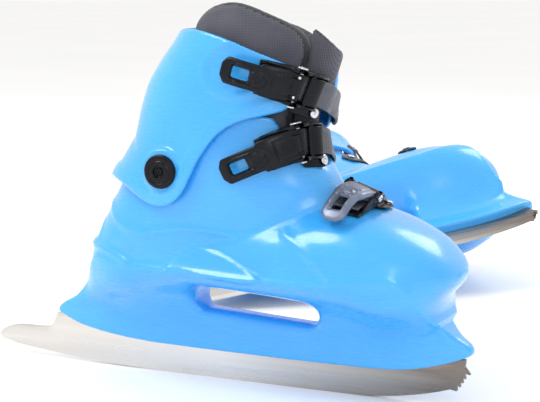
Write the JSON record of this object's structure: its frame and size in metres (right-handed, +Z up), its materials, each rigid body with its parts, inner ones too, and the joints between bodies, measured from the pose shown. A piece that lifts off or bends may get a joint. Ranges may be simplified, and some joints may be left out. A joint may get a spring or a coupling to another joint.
{
  "type": "hard-shell ice skates",
  "caption": "Hard-shell recreational ice skates with hinged cuffs, ratchet buckles, padded liners and steel blades, shown as a pair.",
  "frame": {"origin": "the ice plane under the middle of the upright right skate's blade, on the blade's middle plane", "axes": "+X towards the right skate's toe, +Y towards its inner side, +Z up"},
  "size_m": [0.3711, 0.5529, 0.2633],
  "materials": {
    "shell_plastic": "glossy moulded sky blue",
    "blade_steel": "brushed stainless steel",
    "black_plastic": "glossy black nylon",
    "liner_fabric": "smooth dark grey coated cloth",
    "footbed_foam": "felted foam",
    "strap_plastic": "ribbed dark grey plastic",
    "rivet_steel": "bright nickel plate"
  },
  "bodies": {
    "right_boot": {"right_shell": "shell_plastic", "right_blade": "blade_steel", "right_liner": "liner_fabric", "right_tongue": "liner_fabric", "right_footbed": "footbed_foam", "right_pivot_bolt_lateral": "black_plastic", "right_pivot_bolt_medial": "black_plastic", "right_ankle_base": "black_plastic", "right_ankle_axle": "rivet_steel", "right_ankle_strap": "strap_plastic", "right_ankle_strap_rivet": "rivet_steel", "right_ankle_base_rivet": "rivet_steel", "right_toe_base": "black_plastic", "right_toe_axle": "rivet_steel", "right_toe_strap": "strap_plastic", "right_toe_strap_rivet": "rivet_steel", "right_toe_base_rivet": "rivet_steel"},
    "right_cuff": {"right_cuff": "shell_plastic", "right_cuff_base": "black_plastic", "right_cuff_axle": "rivet_steel", "right_cuff_strap": "strap_plastic", "right_cuff_strap_rivet": "rivet_steel", "right_cuff_base_rivet": "rivet_steel"},
    "right_cuff_lever": {"right_cuff_lever": "black_plastic"},
    "right_cuff_catch": {"right_cuff_pawl": "black_plastic"},
    "right_ankle_lever": {"right_ankle_lever": "black_plastic"},
    "right_ankle_catch": {"right_ankle_pawl": "black_plastic"},
    "right_toe_lever": {"right_toe_lever": "black_plastic"},
    "right_toe_catch": {"right_toe_pawl": "black_plastic"},
    "left_boot": {"left_shell": "shell_plastic", "left_blade": "blade_steel", "left_liner": "liner_fabric", "left_tongue": "liner_fabric", "left_footbed": "footbed_foam", "left_pivot_bolt_lateral": "black_plastic", "left_pivot_bolt_medial": "black_plastic", "left_ankle_base": "black_plastic", "left_ankle_axle": "rivet_steel", "left_ankle_strap": "strap_plastic", "left_ankle_strap_rivet": "rivet_steel", "left_ankle_base_rivet": "rivet_steel", "left_toe_base": "black_plastic", "left_toe_axle": "rivet_steel", "left_toe_strap": "strap_plastic", "left_toe_strap_rivet": "rivet_steel", "left_toe_base_rivet": "rivet_steel"},
    "left_cuff": {"left_cuff": "shell_plastic", "left_cuff_base": "black_plastic", "left_cuff_axle": "rivet_steel", "left_cuff_strap": "strap_plastic", "left_cuff_strap_rivet": "rivet_steel", "left_cuff_base_rivet": "rivet_steel"},
    "left_cuff_lever": {"left_cuff_lever": "black_plastic"},
    "left_cuff_catch": {"left_cuff_pawl": "black_plastic"},
    "left_ankle_lever": {"left_ankle_lever": "black_plastic"},
    "left_ankle_catch": {"left_ankle_pawl": "black_plastic"},
    "left_toe_lever": {"left_toe_lever": "black_plastic"},
    "left_toe_catch": {"left_toe_pawl": "black_plastic"}
  },
  "joints": [
    {"name": "right_cuff_pivot", "type": "hinge", "parent": "right_boot", "child": "right_cuff", "pos_m": [-0.056, 0, 0.151], "axis": [0, 1, 0], "range_deg": [-4, 0], "deforming": ["right_liner", "right_tongue"]},
    {"name": "right_cuff_lever_hinge", "type": "hinge", "parent": "right_cuff", "child": "right_cuff_lever", "pos_m": [0.03767, -0.04049, 0.20926], "axis": [0.3113, 0.0955, 0.9455], "range_deg": [0, 95]},
    {"name": "right_cuff_catch_hinge", "type": "hinge", "parent": "right_cuff", "child": "right_cuff_catch", "pos_m": [0.04326, -0.03321, 0.20652], "axis": [-0.3359, -0.1556, -0.9289], "range_deg": [0, 14], "stiffness_Nm_per_rad": 0.02},
    {"name": "right_ankle_lever_hinge", "type": "hinge", "parent": "right_boot", "child": "right_ankle_lever", "pos_m": [0.03583, -0.03139, 0.17282], "axis": [-0.1949, -0.068, 0.9785], "range_deg": [0, 95]},
    {"name": "right_ankle_catch_hinge", "type": "hinge", "parent": "right_boot", "child": "right_ankle_catch", "pos_m": [0.04077, -0.02294, 0.17336], "axis": [0.0964, -0.0761, -0.9924], "range_deg": [0, 14], "stiffness_Nm_per_rad": 0.02},
    {"name": "right_toe_lever_hinge", "type": "hinge", "parent": "right_boot", "child": "right_toe_lever", "pos_m": [0.06953, -0.00409, 0.13972], "axis": [-0.9302, -0.0046, 0.367], "range_deg": [0, 95]},
    {"name": "right_toe_catch_hinge", "type": "hinge", "parent": "right_boot", "child": "right_toe_catch", "pos_m": [0.06917, 0.00469, 0.13888], "axis": [0.9313, -0.0052, -0.3642], "range_deg": [0, 14], "stiffness_Nm_per_rad": 0.02},
    {"name": "left_cuff_pivot", "type": "hinge", "parent": "left_boot", "child": "left_cuff", "pos_m": [-0.15875, 0.35803, 0.05682], "axis": [0.0017, 0.2577, -0.9662], "range_deg": [-4, 0], "deforming": ["left_liner", "left_tongue"]},
    {"name": "left_cuff_lever_hinge", "type": "hinge", "parent": "left_cuff", "child": "left_cuff_lever", "pos_m": [-0.12748, 0.47068, 0.04502], "axis": [0.3965, -0.8579, -0.3269], "range_deg": [0, 95]},
    {"name": "left_cuff_catch_hinge", "type": "hinge", "parent": "left_cuff", "child": "left_cuff_catch", "pos_m": [-0.12149, 0.47041, 0.05249], "axis": [-0.3673, 0.8462, 0.3861], "range_deg": [0, 14], "stiffness_Nm_per_rad": 0.02},
    {"name": "left_ankle_lever_hinge", "type": "hinge", "parent": "left_boot", "child": "left_ankle_lever", "pos_m": [-0.10463, 0.44085, 0.04652], "axis": [0.7962, -0.5986, -0.0879], "range_deg": [0, 95]},
    {"name": "left_ankle_catch_hinge", "type": "hinge", "parent": "left_boot", "child": "left_ankle_catch", "pos_m": [-0.10132, 0.44224, 0.05564], "axis": [-0.7322, 0.6348, 0.2468], "range_deg": [0, 14], "stiffness_Nm_per_rad": 0.02},
    {"name": "left_toe_lever_hinge", "type": "hinge", "parent": "left_boot", "child": "left_toe_lever", "pos_m": [-0.0575, 0.43157, 0.07238], "axis": [0.9387, 0.3314, 0.0948], "range_deg": [0, 95]},
    {"name": "left_toe_catch_hinge", "type": "hinge", "parent": "left_boot", "child": "left_toe_catch", "pos_m": [-0.05722, 0.42847, 0.08064], "axis": [-0.9377, -0.3367, -0.0861], "range_deg": [0, 14], "stiffness_Nm_per_rad": 0.02},
    {"name": "pair_slide", "type": "slide", "parent": "right_boot", "child": "left_boot", "axis": [0, 1, 0], "range_m": [0, 0.25]}
  ]
}
